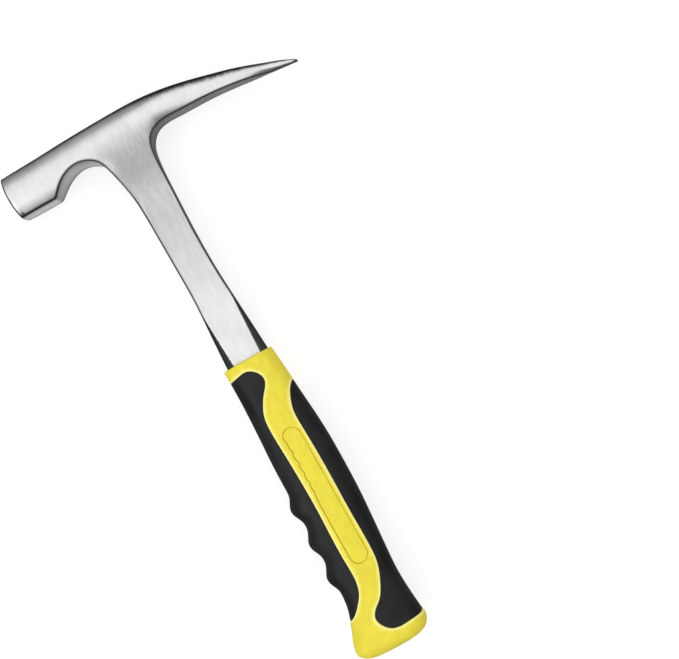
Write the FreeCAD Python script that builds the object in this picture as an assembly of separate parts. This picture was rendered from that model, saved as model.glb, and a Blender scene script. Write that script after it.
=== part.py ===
import FreeCAD, Part
import math
import os

# Brick hammer with a pick end: one steel forging (head, shank and hidden tang) and a two-colour
# moulded grip made of a yellow body and two black inlaid panels.
#
# The hammer lies on its side. +X runs from the striking face to the pick tip, +Y runs along the
# handle towards the head, +Z is the thickness. Outlines are drawn about the shank's axis (x = 0),
# the top of the grip's collar (y = 0) and the mid-plane (z = 0), and every piece is moved by the
# same shift at the end, so that the origin is the bottom centre of the bounding box.

V = FreeCAD.Vector

# ------------------------------------------------------------------ driving dimensions, mm
overall_length = 330.0      # top of the head to the butt of the grip
head_length = 176.0         # striking face to pick tip
face_reach = 71.2           # striking face to shank axis
grip_length = 176.6         # collar to butt

head_thickness = 24.0       # across the cheeks
poll_height = 24.3          # striking face, top to bottom
poll_drop = 2.2             # the poll's top edge at the face lies this far below the head's crest
crown_radius = 45.0         # striking face
rim_radius = 1.4            # rounded rim of the striking face
top_round = 2.6             # rounding along the top edges of the head
tip_drop = 23.3             # pick tip below the head's crest
tip_thickness = 1.6         # blunt end of the pick

notch_width = 32.5          # hollow between poll and shank
notch_rise = 10.5           # its depth above the poll's underside
web_height = 44.0           # the cheeks run down into the flat shank over this length

shank_width = 19.0          # narrowest stretch
shank_thickness = 11.0
collar_width = 25.2         # shank where it enters the grip
collar_flat = 16.0          # width left on its flats by the four bevels there
bevel_length = 40.0         # bevels run out this far above the collar
bevel_depth = 4.2           # drop of a bevel at the collar
bevel_start = 0.45          # the shank has widened by this much on each side where they run out

socket_clearance = 0.6      # the full-width shank inside the collar ends this far above the finger panel
tang_width = 16.0
tang_thickness = 7.0
tang_end_gap = 22.0         # tang end to butt
lock_hole_diameter = 8.0    # holes that the moulding flows through
lock_hole_count = 3

collar_side_wall = 2.2      # grip around the shank at the collar, beside it
collar_face_wall = 6.5      # grip around the shank at the collar, above and below its flats
palm_half = 18.9            # shank axis to the palm swell
palm_swell = 64.0           # collar to the palm swell
waist_half = 15.0           # shank axis to the palm side at the waist
waist_gap = 35.6            # waist to butt
finger_half = 17.3          # shank axis to the finger side between the ridges
butt_heel = 27.4            # shank axis to the butt's finger-side flare
butt_toe = 16.9             # shank axis to the butt's palm side
ridge_height = 3.2          # finger ridges
ridge_sharpness = 1.3
ridge_pitch = 21.2
last_ridge_gap = 49.2       # last ridge to butt
ridge_count = 3
grip_thickness = 27.0
butt_thickness = 30.0
section_power = 2.7         # squareness of the grip's oval section
panel_depth = 3.0           # black panels are inlaid this deep
finger_panel_top = 5.8      # collar to the finger panel
finger_panel_gap = 24.0     # finger panel to butt, at the finger side
palm_panel_top = 20.7       # collar to the palm panel, at the palm side
palm_panel_gap = 11.2       # palm panel to butt
band_centre = 1.4           # the yellow band and its pad lie this far towards the palm
band_finger_edge = 8.1      # yellow band, its middle to the finger panel
band_palm_edge = 7.9        # yellow band, its middle to the palm panel
pad_relief = 0.5            # raised label pad on the band
pad_half = 4.9
pad_top = 43.3              # collar to the pad
pad_gap = 50.8              # pad to butt

# ------------------------------------------------------------------ derived positions
head_top = overall_length - grip_length
pick_reach = head_length - face_reach
poll_top = head_top - poll_drop
poll_bottom = poll_top - poll_height
poll_axis = poll_top - poll_height / 2
shank_half = shank_width / 2
collar_steel = collar_width / 2
flat_half = shank_thickness / 2
cheek_half = head_thickness / 2
notch_right = shank_half + 5.4
notch_left = notch_right + notch_width
web_top = head_top - 10.0
web_foot = web_top - web_height
web_row = 3.0
collar_half = collar_steel + collar_side_wall
collar_face = flat_half + collar_face_wall
waist = grip_length - waist_gap
last_ridge = grip_length - last_ridge_gap
pad_bottom = grip_length - pad_gap
split = web_foot - 2 * web_row
socket_depth = finger_panel_top - socket_clearance


def spline(points):
    """Smooth curve through points given as (x, y)."""
    curve = Part.BSplineCurve()
    curve.interpolate([V(x, y, 0) for x, y in points])
    return curve.toShape()


def line(start, end):
    return Part.LineSegment(V(*start, 0), V(*end, 0)).toShape()


def arc(start, middle, end):
    return Part.Arc(V(*start, 0), V(*middle, 0), V(*end, 0)).toShape()


def prism(edges, half_height):
    """Closed outline in the mid-plane, extruded the same way up and down."""
    face = Part.Face(Part.Wire(edges))
    face.translate(V(0, 0, -half_height))
    return face.extrude(V(0, 0, 2 * half_height))


def smooth_surface(grid):
    """Cubic surface that follows a grid of control points without overshooting them."""
    mults = [4] + [1] * (len(grid) - 4) + [4]
    cross_mults = [4] + [1] * (len(grid[0]) - 4) + [4]
    surface = Part.BSplineSurface()
    surface.buildFromPolesMultsKnots(grid, mults, cross_mults, list(range(len(mults))),
                                     list(range(len(cross_mults))), False, False, 3, 3)
    return surface


def smooth_step(value):
    value = min(1.0, max(0.0, value))
    return value * value * (3 - 2 * value)


def gentle_step(value):
    """Rises from 0 to 1 with no slope and no bend at either end."""
    value = min(1.0, max(0.0, value))
    return value ** 3 * (10 - 15 * value + 6 * value ** 2)


def value_at(stations, where):
    """Smooth value between stations (place, value), with level ends beyond the first and last."""
    if where <= stations[0][0]:
        return stations[0][1]
    if where >= stations[-1][0]:
        return stations[-1][1]
    slopes = []
    for i in range(len(stations)):
        before = stations[max(i - 1, 0)]
        after = stations[min(i + 1, len(stations) - 1)]
        slopes.append((after[1] - before[1]) / (after[0] - before[0]))
    for i in range(len(stations) - 1):
        x0, y0 = stations[i]
        x1, y1 = stations[i + 1]
        if where <= x1:
            span = x1 - x0
            t = (where - x0) / span
            rise = y1 - y0
            blend = smooth_step(t)
            start_bend = t * (1 - t) ** 2 * span * slopes[i]
            end_bend = t * t * (1 - t) * span * slopes[i + 1]
            return y0 + rise * blend + start_bend - end_bend


# ------------------------------------------------------------------ steel forging
def head_top_line():
    """Crest of the head, from the striking face to the pick tip."""
    drops = [(0.19, 0.013), (0.37, 0.128), (0.56, 0.325), (0.755, 0.565), (0.95, 0.866)]
    points = [(-1.1 * face_reach, poll_top - 0.1), (-0.69 * face_reach, poll_top + 0.26 * poll_drop)]
    points += [(-0.41 * face_reach, poll_top + 0.68 * poll_drop), (0.0, head_top)]
    points += [(reach * pick_reach, head_top - drop * tip_drop) for reach, drop in drops]
    points.append((pick_reach - 0.7, head_top - tip_drop + tip_thickness / 2))
    return points


def pick_underside():
    """Underside of the pick, from the tip back to the crook, as (x, y)."""
    drops = [(0.948, 1.012), (0.85, 0.955), (0.655, 0.813), (0.466, 0.742), (0.31, 0.727)]
    points = [(pick_reach - 0.4, head_top - tip_drop - tip_thickness / 2)]
    points += [(reach * pick_reach, head_top - drop * tip_drop) for reach, drop in drops]
    points.append((shank_half + 11.2, head_top - 0.762 * tip_drop))
    return points


def side_outline():
    """Edges of the head's and the shank's outline, down into the grip's socket."""
    top = head_top_line()
    under = pick_underside()
    shoulder = -socket_depth
    bare = web_foot - bevel_length
    crook = [(shank_half + 5.7, web_top - 11.0), (shank_half + 2.9, web_top - 15.6)]
    crook += [(shank_half + 1.6, web_top - 22.0), (shank_half + 0.6, web_foot + 4.0)]
    right = [(shank_half - 0.2, bevel_length + 0.68 * bare), (shank_half - 0.3, bevel_length + 0.3 * bare)]
    right += [(shank_half + bevel_start, bevel_length), (collar_steel - 1.3, bevel_length / 2)]
    right += [(collar_steel, 0.0), (collar_steel + 0.3, shoulder)]
    left = [(-collar_steel - 0.3, shoulder), (-collar_steel, 0.0)]
    left += [(1.3 - collar_steel, bevel_length / 2), (-shank_half - bevel_start, bevel_length)]
    left += [(-shank_half - 0.4, bevel_length + 0.34 * bare)]
    left += [(-shank_half - 0.7, bevel_length + 0.83 * bare)]
    left += [(-shank_half - 1.6, web_foot + 8.0), (-shank_half - 3.5, web_top - 25.0)]
    arch = [(0.015, 0.08), (0.074, 0.486), (0.15, 0.724), (0.29, 0.94), (0.42, 1.0), (0.6, 0.895)]
    arch += [(0.75, 0.657), (0.9, 0.276), (0.975, 0.06)]
    left += [(-notch_right - run * notch_width, poll_bottom + rise * notch_rise) for run, rise in arch]
    heel = (-notch_left - 0.6, poll_bottom)
    corner = (-1.1 * face_reach, poll_bottom)
    nose = (pick_reach, head_top - tip_drop)
    return [spline(top), arc(top[-1], nose, under[0]), spline(under + crook + right),
            line(right[-1], left[0]), spline(left), line(left[-1], heel), line(heel, corner),
            line(corner, top[0])]


# Cross-sections of the head, as (place along X as a share of its reach, value).
section_thickness = [(-1.2, 1.0), (0.0, 1.0), (0.1, 0.98), (0.19, 0.9), (0.37, 0.77), (0.56, 0.63),
                     (0.66, 0.57), (0.76, 0.47), (0.86, 0.31), (0.95, 0.165), (1.0, 0.08)]
edge_loss = [(-1.2, 0.3), (0.0, 0.3), (0.19, 0.3), (0.37, 0.17), (0.56, 0.09), (0.66, 0.07),
             (0.76, 0.22), (0.86, 0.62), (0.95, 0.9), (1.0, 0.95)]
section_bottom = [(-1.2, 1.03), (-0.3, 1.03), (0.0, 0.98), (0.14, 0.84), (0.2, 0.762), (0.31, 0.727),
                  (0.466, 0.742), (0.655, 0.813), (0.85, 0.955), (0.948, 1.012), (1.02, 1.04)]
section_top = [(-1.2, 0.1), (-0.69, 0.07), (-0.41, 0.03), (0.0, 0.0), (0.19, 0.013), (0.37, 0.128),
               (0.56, 0.325), (0.755, 0.565), (0.95, 0.866), (1.02, 0.98)]


def section_at(x):
    """Centre height, half height, half thickness and edge loss of the head's section at x."""
    share = x / pick_reach if x > 0 else x / face_reach
    depth = poll_drop + poll_height
    bottom_scale = tip_drop if x > 0 else depth / 1.03
    top_scale = tip_drop if x > 0 else 1.06 * poll_drop / 0.1
    middle_scale = smooth_step((x + 0.3 * face_reach) / (0.3 * face_reach))
    bottom_scale = bottom_scale + (tip_drop - bottom_scale) * middle_scale
    top = head_top - value_at(section_top, share) * top_scale
    bottom = head_top - value_at(section_bottom, share) * bottom_scale
    half_thickness = cheek_half * value_at(section_thickness, share)
    return (top + bottom) / 2, (top - bottom) / 2, half_thickness, value_at(edge_loss, share)


def barrel(x, s):
    """Half thickness of the head's barrel-shaped section; s is -1 at its foot and 1 at its crest."""
    centre, half_height, half_thickness, loss = section_at(x)
    squareness = 2.0 + 2.0 * smooth_step((loss - 0.35) / 0.4)
    height = half_thickness * (1 - loss * abs(s) ** squareness)
    radius = min(top_round, 0.45 * half_height)
    into_round = (s * half_height - (half_height - radius)) / radius
    if into_round > 0:
        height -= 0.9 * radius * (1 - math.sqrt(max(0.0, 1 - min(into_round, 0.97) ** 2)))
    return max(height, 0.35)


def cheek_height(x, y):
    """Half thickness of the forging above the flat part of the shank."""
    centre, half_height, half_thickness, loss = section_at(x)
    s = (y - centre) / half_height
    round_part = barrel(x, max(-1.0, min(s, 1.0)))
    if s < -1.0:
        fade = smooth_step((centre - half_height - y) / (centre - half_height - web_foot))
        round_part += (flat_half - round_part) * fade
    web = barrel(x, max(0.0, min(s, 1.0)))
    if s < 0.0:
        web_start = min(centre, web_top)
        web = flat_half + (web - flat_half) * gentle_step((y - web_foot) / (web_start - web_foot))
    share = smooth_step((22.0 - abs(x)) / 13.0)
    return round_part + (web - round_part) * share


def cheek_face():
    """Surface of one cheek, wider than the head in plan."""
    steps_along = 46
    margin = 4.0
    section_steps = [1.0, 0.96, 0.91, 0.85, 0.78, 0.68, 0.55, 0.4, 0.2, 0.0, -0.2, -0.4, -0.6,
                     -0.75, -0.88, -1.0]
    web_steps = [0.07, 0.16, 0.27, 0.39, 0.52, 0.66, 0.82, 1.0]
    grid = []
    for i in range(steps_along + 1):
        share = i / steps_along
        x = -1.06 * face_reach + (1.06 * face_reach + 1.03 * pick_reach) * share
        centre, half_height, _, _ = section_at(x)
        heights = [centre + half_height + margin]
        heights += [centre + s * half_height for s in section_steps]
        foot = heights[-1]
        heights += [foot + (web_foot - foot) * t for t in web_steps]
        heights += [web_foot - web_row * j for j in (1, 2, 3, 4)]
        grid.append([V(x, y, cheek_height(x, y)) for y in heights])
    return Part.Face(smooth_surface(grid))


def bevel_block(x_sign, z_sign):
    """Wedge that cuts one of the four bevels beside the shank's flats near the collar."""
    runout = V(x_sign * (shank_half + bevel_start), bevel_length, z_sign * flat_half)
    inner = V(x_sign * collar_flat / 2, 0, z_sign * flat_half)
    outer = V(x_sign * collar_steel, 0, z_sign * (flat_half - bevel_depth))
    normal = (inner - runout).cross(outer - runout)
    normal.normalize()
    if normal.z * z_sign < 0:
        normal = normal * -1
    size = 4 * collar_width
    block = Part.makeBox(size, size, size, V(-size / 2, -size / 2, 0))
    block.Placement = FreeCAD.Placement(inner, FreeCAD.Rotation(V(0, 0, 1), normal))
    region = Part.makeBox(collar_width, 2 * bevel_length, shank_thickness,
                          V(-collar_width / 2 + x_sign * collar_width / 2, -socket_depth - 1,
                            -shank_thickness / 2 + z_sign * shank_thickness / 2))
    return block.common(region)


def make_tang():
    """Hidden flat tongue of the forging, with holes that lock the moulding."""
    end = tang_end_gap - grip_length
    half = tang_width / 2
    top = -socket_depth / 2
    edges = [line((half, top), (-half, top)), line((-half, top), (-half, end + half)),
             arc((-half, end + half), (0, end), (half, end + half)), line((half, end + half), (half, top))]
    tang = prism(edges, tang_thickness / 2)
    spacing = (grip_length - tang_end_gap - socket_depth) / (lock_hole_count + 1)
    for i in range(lock_hole_count):
        centre = V(0, -socket_depth - spacing * (i + 1), -tang_thickness)
        hole = Part.makeCylinder(lock_hole_diameter / 2, 2 * tang_thickness, centre)
        tang = tang.cut(hole)
    return tang


def make_forging():
    blank = prism(side_outline(), head_thickness)
    wide = 3 * head_length
    below = Part.makeBox(wide, wide, wide, V(-wide / 2, split - wide, -wide / 2))
    head = blank.cut(below)
    shank = blank.common(below)
    upper = cheek_face()
    lower = upper.mirror(V(0, 0, 0), V(0, 0, 1))
    head = head.cut(upper.extrude(V(0, 0, 2 * head_thickness)))
    head = head.cut(lower.extrude(V(0, 0, -2 * head_thickness)))
    slab = Part.makeBox(wide, wide, shank_thickness, V(-wide / 2, -wide / 2, -flat_half))
    shank = shank.common(slab)
    for x_sign in (-1, 1):
        for z_sign in (-1, 1):
            shank = shank.cut(bevel_block(x_sign, z_sign))
    ball_centre = V(crown_radius - face_reach, poll_axis, 0)
    ball = Part.makeSphere(crown_radius, ball_centre)
    front = Part.makeBox(wide, wide, wide, V(-wide - 0.7 * face_reach, -wide / 2, -wide / 2))
    head = head.cut(front.cut(ball))
    forging = head.fuse([shank, make_tang()]).removeSplitter()
    crown = [face for face in forging.Faces if isinstance(face.Surface, Part.Sphere)]
    rim = [edge for face in crown for edge in face.Edges]
    return forging.makeFillet(rim_radius, rim)


# ------------------------------------------------------------------ moulded grip
# Half widths and half thickness of the grip, as (depth below the collar, value).
palm_side = [(0.0, collar_half - 0.3), (10.0, collar_half + 0.6), (0.47 * palm_swell, palm_half - 1.9),
             (0.78 * palm_swell, palm_half - 0.4), (palm_swell, palm_half),
             (palm_swell + 0.34 * (waist - palm_swell), palm_half - 0.4),
             (palm_swell + 0.6 * (waist - palm_swell), palm_half - 1.7),
             (palm_swell + 0.86 * (waist - palm_swell), waist_half + 0.6),
             (waist, waist_half), (waist + 11.0, waist_half + 0.3),
             (grip_length - 10.0, butt_toe - 0.4), (grip_length - 7.8, butt_toe),
             (grip_length - 5.6, butt_toe - 0.4), (grip_length - 3.8, butt_toe - 1.4),
             (grip_length - 2.2, butt_toe - 3.2), (grip_length - 1.0, butt_toe - 6.0),
             (grip_length, butt_toe - 10.5)]

finger_side = [(0.0, collar_half + 0.2), (0.16 * last_ridge, collar_half + 0.3),
               (0.31 * last_ridge, finger_half - 1.4), (0.47 * last_ridge, finger_half - 0.3),
               (last_ridge - 1.5 * ridge_pitch, finger_half + 0.2),
               (last_ridge - 0.5 * ridge_pitch, finger_half + 0.7),
               (last_ridge + 0.6 * ridge_pitch, finger_half + 1.5),
               (last_ridge + 0.97 * ridge_pitch, finger_half + 2.7),
               (grip_length - 19.5, butt_heel - 4.2), (grip_length - 11.5, butt_heel - 1.0),
               (grip_length - 7.6, butt_heel), (grip_length - 5.4, butt_heel - 0.3),
               (grip_length - 3.4, butt_heel - 1.6), (grip_length - 1.9, butt_heel - 3.6),
               (grip_length - 0.8, butt_heel - 6.6), (grip_length, butt_heel - 11.0)]

face_side = [(0.0, collar_face - 0.3), (12.0, collar_face + 0.4), (palm_swell, grip_thickness / 2),
             (palm_swell + 0.6 * (waist - palm_swell), grip_thickness / 2 - 0.3),
             (waist, grip_thickness / 2 - 0.5), (grip_length - 16.0, butt_thickness / 2 - 0.9),
             (grip_length - 8.0, butt_thickness / 2), (grip_length - 5.4, butt_thickness / 2 - 0.4),
             (grip_length - 3.2, butt_thickness / 2 - 1.9), (grip_length - 1.6, butt_thickness / 2 - 3.9),
             (grip_length - 0.6, butt_thickness / 2 - 6.1), (grip_length, butt_thickness / 2 - 8.6)]


def finger_ridges(depth):
    """Extra width of the finger side at this distance below the collar."""
    total = 0.0
    for i in range(ridge_count):
        away = abs(depth - last_ridge + i * ridge_pitch) / (ridge_pitch / 2)
        if away < 1:
            total += ridge_height * (0.5 + 0.5 * math.cos(math.pi * away)) ** ridge_sharpness
    return total


def grip_ring(depth, inset):
    """Upper half of the grip's section, from the palm side over to the finger side."""
    palm = value_at(palm_side, depth) - inset
    finger = value_at(finger_side, depth) + finger_ridges(depth) - inset
    face = value_at(face_side, depth) - inset
    points = []
    steps = 20
    for i in range(steps + 1):
        angle = math.pi * i / steps
        c = math.cos(angle)
        s = math.sin(angle)
        half = palm if c > 0 else finger
        reach = (abs(c / half) ** section_power + abs(s / face) ** section_power)
        radius = reach ** (-1 / section_power)
        z = radius * s if 0 < i < steps else 0.0
        points.append(V(radius * c, -depth, z))
    return points


def grip_solid(inset):
    """Closed solid of the grip's outer form, moved inwards by inset."""
    depths = [0.0, 1.5, 5.0, 12.0]
    step = 4.0
    count = int((grip_length - 26.0) // step)
    depths += [12.0 + (grip_length - 24.0 - 12.0) * i / count for i in range(1, count + 1)]
    depths += [grip_length - gap for gap in (20, 16, 12, 9, 7, 5.2, 3.8, 2.6, 1.6, 0.8, 0.3, 0)]
    surface = Part.BSplineSurface()
    surface.interpolate([grip_ring(depth, inset) for depth in depths])
    upper = Part.Face(surface)
    lower = upper.mirror(V(0, 0, 0), V(0, 0, 1))
    faces = [upper, lower]
    for depth in (depths[0], depths[-1]):
        ends = [edge for edge in upper.Edges + lower.Edges
                if abs(edge.BoundBox.YMin + depth) < 0.01 and abs(edge.BoundBox.YMax + depth) < 0.01]
        faces.append(Part.Face(Part.Wire(Part.__sortEdges__(ends))))
    shell = Part.makeShell(faces)
    shell.sewShape()
    solid = Part.Solid(shell)
    if solid.Volume < 0:
        solid.reverse()
    return solid


def with_band(points):
    """The points moved towards the palm with the yellow band."""
    return [(x + band_centre, y) for x, y in points]


def finger_panel_outline():
    """Plan of the black finger-side panel; its outer run lies outside the grip."""
    outside = -butt_heel - 10.0
    inner = -band_finger_edge
    top = -finger_panel_top
    end = finger_panel_gap - grip_length
    run = end - top
    edge = [(outside, top - 1.7), (-14.6, top - 1.4), (-9.1, top - 0.3), (-4.9, top), (-1.4, top - 1.8)]
    edge += [(1.1, top - 4.7), (1.9, top - 7.6), (0.5, top - 11.5), (-2.3, top - 14.9)]
    edge += [(-5.7, top - 20.0), (inner - 0.2, top - 25.8), (inner - 1.0, top - 31.9)]
    edge += [(inner - 0.7, top + 0.32 * run), (inner, top + 0.48 * run), (inner - 0.1, top + 0.6 * run)]
    edge += [(inner - 0.6, top + 0.79 * run), (inner - 0.8, end + 18.6), (-11.0, end + 12.1)]
    edge += [(-14.4, end + 7.4), (-18.6, end + 3.0), (-23.0, end), (outside, end - 3.4)]
    edge = with_band(edge)
    return [spline(edge), line(edge[-1], edge[0])]


def palm_panel_outline():
    """Plan of the black palm-side panel; its outer run lies outside the grip."""
    outside = palm_half + 10.0
    inner = band_palm_edge
    top = -palm_panel_top
    end = palm_panel_gap - grip_length
    run = end - top
    edge = [(outside, top + 6.1), (16.0, top), (12.6, top - 3.3), (9.6, top - 8.9)]
    edge += [(inner - 0.1, top - 14.9), (inner - 0.4, top - 24.9), (inner + 0.1, top + 0.38 * run)]
    edge += [(inner - 0.2, top + 0.55 * run), (inner - 0.2, top + 0.69 * run), (6.7, end + 35.2)]
    edge += [(3.1, end + 25.7), (-2.6, end + 17.1), (-7.6, end + 12.7), (-9.1, end + 9.2)]
    edge += [(-7.4, end + 4.5), (-3.6, end + 1.1), (1.2, end), (8.0, end), (13.5, end - 0.4)]
    edge += [(outside, end - 2.8)]
    edge = with_band(edge)
    return [spline(edge), line(edge[-1], edge[0])]


def label_pad():
    """Capsule-shaped raised pads on both faces of the yellow body."""
    high = -pad_top - pad_half
    low = -pad_bottom + pad_half
    right, top_right, top, top_left, left, bottom = with_band([
        (pad_half, low), (pad_half, high), (0, -pad_top), (-pad_half, high), (-pad_half, low),
        (0, -pad_bottom)])
    edges = [line(right, top_right), arc(top_right, top, top_left), line(top_left, left),
             arc(left, bottom, right)]
    return grip_solid(-pad_relief).common(prism(edges, butt_thickness))


def make_grip(forging):
    """Yellow body, finger panel and palm panel, fitted to each other and to the steel."""
    outer = grip_solid(0.0)
    skin = outer.cut(grip_solid(panel_depth))
    finger = skin.common(prism(finger_panel_outline(), butt_thickness))
    palm = skin.common(prism(palm_panel_outline(), butt_thickness))
    body = outer.fuse(label_pad()).removeSplitter()
    body = body.cut(finger).cut(palm).cut(forging)
    return body, finger, palm


# ------------------------------------------------------------------ output
os.makedirs("parts", exist_ok=True)

steel = make_forging()
yellow, finger_side_panel, palm_side_panel = make_grip(steel)
nodes = {"steel_forging": steel, "grip_body": yellow, "finger_grip_panel": finger_side_panel,
         "palm_grip_panel": palm_side_panel}

middle_x = (pick_reach - face_reach) / 2
middle_y = (head_top - grip_length) / 2
shift = V(-middle_x, -middle_y, butt_thickness / 2)
for name, shape in nodes.items():
    shape.translate(shift)
    box = shape.BoundBox
    print(name, shape.isValid(), len(shape.Solids), round(shape.Volume), [round(v, 2) for v in
          (box.XMin, box.XMax, box.YMin, box.YMax, box.ZMin, box.ZMax)])
    shape.exportStep("parts/" + name + ".step")
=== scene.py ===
"""Looks of the brick hammer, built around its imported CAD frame.

Shapes are worked out in millimetres about the shank's axis (x = 0), the top of the grip's collar
(y = 0) and the mid-plane (z = 0), and are moved into the frame, in metres, when a mesh is made.
"""
import math

import bmesh
import bpy
import numpy as np
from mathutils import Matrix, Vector
from mathutils.geometry import delaunay_2d_cdt
from mathutils.kdtree import KDTree


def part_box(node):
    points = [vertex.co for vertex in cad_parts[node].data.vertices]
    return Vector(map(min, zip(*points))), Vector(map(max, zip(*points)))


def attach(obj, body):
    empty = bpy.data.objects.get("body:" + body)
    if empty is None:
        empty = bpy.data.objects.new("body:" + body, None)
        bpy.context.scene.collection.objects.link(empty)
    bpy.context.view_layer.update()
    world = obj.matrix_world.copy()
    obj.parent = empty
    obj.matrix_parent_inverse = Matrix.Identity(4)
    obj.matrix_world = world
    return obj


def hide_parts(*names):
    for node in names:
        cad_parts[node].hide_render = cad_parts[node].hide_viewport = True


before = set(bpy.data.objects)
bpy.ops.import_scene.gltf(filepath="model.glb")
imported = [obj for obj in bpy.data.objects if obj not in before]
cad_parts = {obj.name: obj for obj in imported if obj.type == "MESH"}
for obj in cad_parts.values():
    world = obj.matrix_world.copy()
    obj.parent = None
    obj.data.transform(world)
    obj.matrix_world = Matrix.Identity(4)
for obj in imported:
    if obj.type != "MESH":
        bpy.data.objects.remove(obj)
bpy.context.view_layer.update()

# -------------------- sizes, mm
MM = 0.001
NEAR = 1e-3                 # points closer than this lie in one place or on one line
OVERALL_LENGTH = 330.0
HEAD_LENGTH = 176.0
FACE_REACH = 71.2
GRIP_LENGTH = 176.6

HEAD_THICKNESS = 24.0
POLL_HEIGHT = 24.3
POLL_DROP = 2.2
CROWN_RADIUS = 45.0
RIM_RADIUS = 1.4
TOP_ROUND = 2.6
TIP_DROP = 23.3
TIP_THICKNESS = 1.6
NOTCH_WIDTH = 32.5
NOTCH_RISE = 10.5
WEB_HEIGHT = 44.0
EDGE_RADIUS = 0.6           # softened edges all round the forging
SHANK_EDGE_RADIUS = 1.1     # the bare shank's long edges are ground rounder

SHANK_WIDTH = 19.0
SHANK_THICKNESS = 11.0
COLLAR_WIDTH = 25.2
COLLAR_FLAT = 16.0
BEVEL_LENGTH = 40.0
BEVEL_DEPTH = 4.2
BEVEL_START = 0.45
SOCKET_CLEARANCE = 0.6
TANG_WIDTH = 16.0
TANG_THICKNESS = 7.0
TANG_END_GAP = 22.0

PALM_HALF = 18.9
PALM_SWELL = 64.0
WAIST_HALF = 15.0
WAIST_GAP = 35.6
FINGER_HALF = 17.3
BUTT_HEEL = 27.4
BUTT_TOE = 16.9
RIDGE_HEIGHT = 3.2
RIDGE_SHARPNESS = 1.3
RIDGE_PITCH = 21.2
RIDGE_COUNT = 3
LAST_RIDGE_GAP = 49.2
GRIP_THICKNESS = 27.0
BUTT_THICKNESS = 30.0
SECTION_POWER = 2.7
COLLAR_SIDE_WALL = 2.2
COLLAR_FACE_WALL = 6.5
PANEL_DEPTH = 3.0
PANEL_CLEARANCE = 0.05
FINGER_PANEL_TOP = 5.8
FINGER_PANEL_GAP = 24.0
PALM_PANEL_TOP = 20.7
PALM_PANEL_GAP = 11.2
BAND_CENTRE = 1.4
BAND_FINGER_EDGE = 8.1
BAND_PALM_EDGE = 7.9
PAD_HALF = 4.9
PAD_TOP = 43.3
PAD_GAP = 50.8

HEAD_TOP = OVERALL_LENGTH - GRIP_LENGTH
PICK_REACH = HEAD_LENGTH - FACE_REACH
POLL_TOP = HEAD_TOP - POLL_DROP
POLL_BOTTOM = POLL_TOP - POLL_HEIGHT
POLL_AXIS = POLL_TOP - POLL_HEIGHT / 2
SHANK_HALF = SHANK_WIDTH / 2
COLLAR_STEEL = COLLAR_WIDTH / 2
FLAT_HALF = SHANK_THICKNESS / 2
CHEEK_HALF = HEAD_THICKNESS / 2
TANG_HALF = TANG_THICKNESS / 2
NOTCH_RIGHT = SHANK_HALF + 5.4
NOTCH_LEFT = NOTCH_RIGHT + NOTCH_WIDTH
WEB_TOP = HEAD_TOP - 10.0
WEB_FOOT = WEB_TOP - WEB_HEIGHT
COLLAR_HALF = COLLAR_STEEL + COLLAR_SIDE_WALL
COLLAR_FACE = FLAT_HALF + COLLAR_FACE_WALL
WAIST = GRIP_LENGTH - WAIST_GAP
LAST_RIDGE = GRIP_LENGTH - LAST_RIDGE_GAP
TANG_END = GRIP_LENGTH - TANG_END_GAP
PAD_BOTTOM = GRIP_LENGTH - PAD_GAP
SOCKET_DEPTH = FINGER_PANEL_TOP - SOCKET_CLEARANCE

steel_low, steel_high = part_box("steel_forging")
grip_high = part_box("grip_body")[1]
ORIGIN = np.array([steel_low.x + FACE_REACH * MM, grip_high.y, (steel_low.z + steel_high.z) / 2])


# -------------------- curves and fields
def smooth_step(value):
    value = np.clip(value, 0.0, 1.0)
    return value * value * (3 - 2 * value)


def gentle_step(value):
    value = np.clip(value, 0.0, 1.0)
    return value ** 3 * (10 - 15 * value + 6 * value ** 2)


def hermite(where, knots, values, slopes):
    """Piecewise cubic through the knots, level beyond both ends; values may be numbers or points."""
    where = np.clip(where, knots[0], knots[-1])
    i = np.clip(np.searchsorted(knots, where, side="right") - 1, 0, len(knots) - 2)
    span = knots[i + 1] - knots[i]
    t = (where - knots[i]) / span
    if values.ndim == 2:
        span = span[:, None]
        t = t[:, None]
    blend = t * t * (3 - 2 * t)
    bend = span * t * (1 - t) * ((1 - t) * slopes[i] - t * slopes[i + 1])
    return values[i] * (1 - blend) + values[i + 1] * blend + bend


def value_at(stations, where):
    """Smooth value between stations given as (place, value)."""
    knots, values = np.array(stations, float).T
    ahead = np.append(np.arange(1, len(knots)), len(knots) - 1)
    behind = np.append(0, np.arange(len(knots) - 1))
    slopes = (values[ahead] - values[behind]) / (knots[ahead] - knots[behind])
    return hermite(np.asarray(where, float), knots, values, slopes)


def end_slope(places, points):
    """Slope at place 0 of the cubic through four points."""
    return np.array([np.polyfit(places, column, 3)[-2] for column in points.T])


def smooth_curve(points, spacing):
    """Polyline along the cubic spline through the points, both ends included."""
    points = np.array(points, float)
    knots = np.append(0.0, np.cumsum(np.linalg.norm(np.diff(points, axis=0), axis=1)))
    steps = np.diff(knots)
    count = len(points)
    matrix = np.eye(count)
    right = np.zeros((count, 2))
    right[0] = end_slope(knots[:4] - knots[0], points[:4])
    right[-1] = end_slope(knots[-4:] - knots[-1], points[-4:])
    for i in range(1, count - 1):
        before, after = steps[i - 1], steps[i]
        matrix[i, i - 1:i + 2] = 1 / before, 2 / before + 2 / after, 1 / after
        right[i] = 3 * (points[i] - points[i - 1]) / before ** 2
        right[i] += 3 * (points[i + 1] - points[i]) / after ** 2
    slopes = np.linalg.solve(matrix, right)
    samples = max(2, round(knots[-1] / spacing) + 1)
    return hermite(np.linspace(0, knots[-1], samples), knots, points, slopes)


def straight(start, end, spacing):
    count = max(2, round(math.dist(start, end) / spacing) + 1)
    return np.linspace(start, end, count)


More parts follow.
